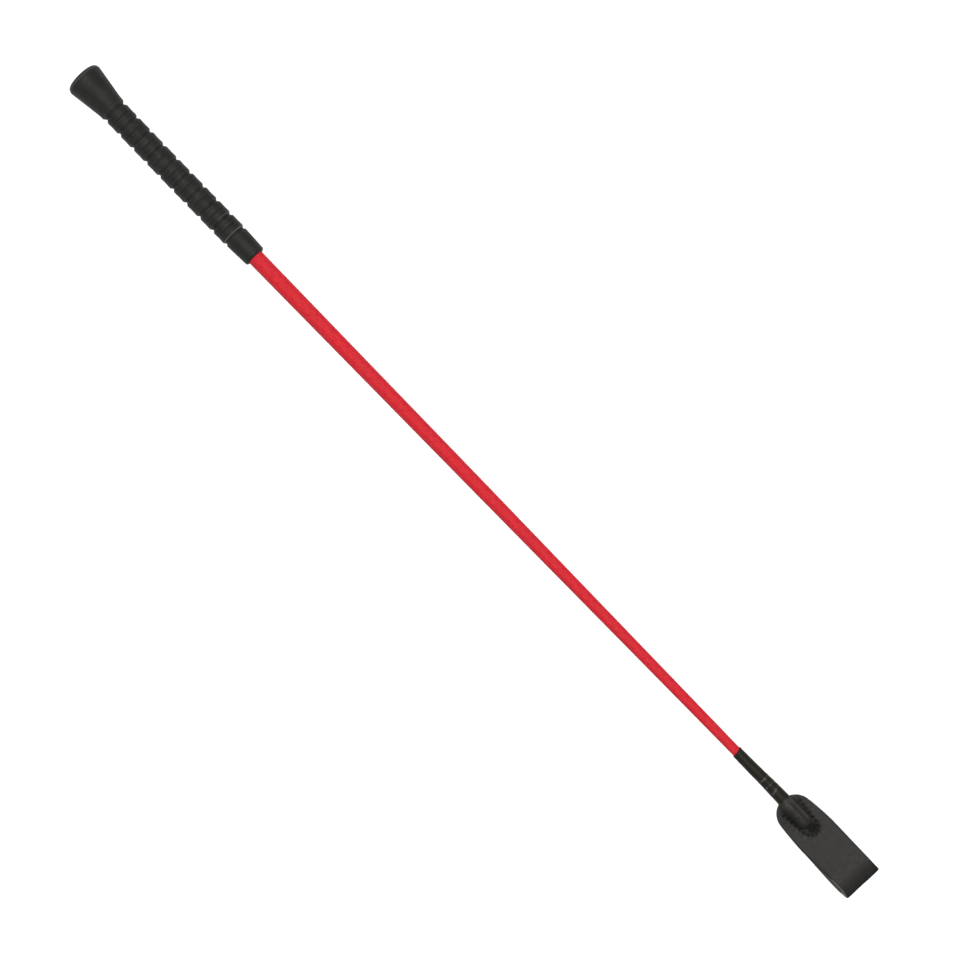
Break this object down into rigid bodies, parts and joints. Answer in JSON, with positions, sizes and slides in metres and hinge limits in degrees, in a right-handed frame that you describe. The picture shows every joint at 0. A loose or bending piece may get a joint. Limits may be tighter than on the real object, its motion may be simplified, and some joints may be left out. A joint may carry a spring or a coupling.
{
  "type": "riding crop",
  "caption": "Riding crop: ribbed black rubber grip with a flared butt, tapered shaft in a red braid, black tip sleeve and a folded, stitched black leather flap that bends.",
  "frame": {"origin": "centre of the flat butt face", "axes": "+X along the shaft's axis from the butt to the flap, +Z normal to the flap's face, +Y across the flap"},
  "size_m": [0.65, 0.0252, 0.022],
  "materials": {
    "grip_rubber": "matt moulded rubber",
    "grip_tape": "paper-backed adhesive tape",
    "whipping_thread": "waxed thread",
    "glass_fibre": "ground glass fibre",
    "filler_yarn": "braided yarn",
    "red_braid": "braided nylon",
    "packing_tape": "wound cloth tape",
    "sleeve": "satin",
    "band_lacquer": "lacquered thread",
    "leather": "smooth black leather",
    "sewing_thread": "waxed thread"
  },
  "bodies": {
    "handle": {"rubber_grip": "grip_rubber", "grip_tape": "grip_tape", "butt_whipping": "whipping_thread"},
    "shaft": {"core_rod": "glass_fibre", "under_braid": "filler_yarn", "braid_cover": "red_braid", "tip_whipping": "whipping_thread", "tip_packing": "packing_tape", "tip_sleeve": "sleeve", "sleeve_band_rear": "band_lacquer", "sleeve_band_middle": "band_lacquer", "sleeve_band_front": "band_lacquer", "flap_root": "leather", "flap_stitching": "sewing_thread"},
    "flap": {"flap_blade": "leather"}
  },
  "joints": [
    {"name": "shaft_flex", "type": "hinge", "parent": "handle", "child": "shaft", "pos_m": [0.213, 0, 0], "axis": [0, 1, 0], "range_deg": [-15, 15], "stiffness_Nm_per_rad": 4, "deforming": ["core_rod", "under_braid", "braid_cover"]},
    {"name": "flap_bend", "type": "hinge", "parent": "shaft", "child": "flap", "pos_m": [0.615, 0, 0], "axis": [0, 1, 0], "range_deg": [-60, 60], "stiffness_Nm_per_rad": 0.05}
  ]
}
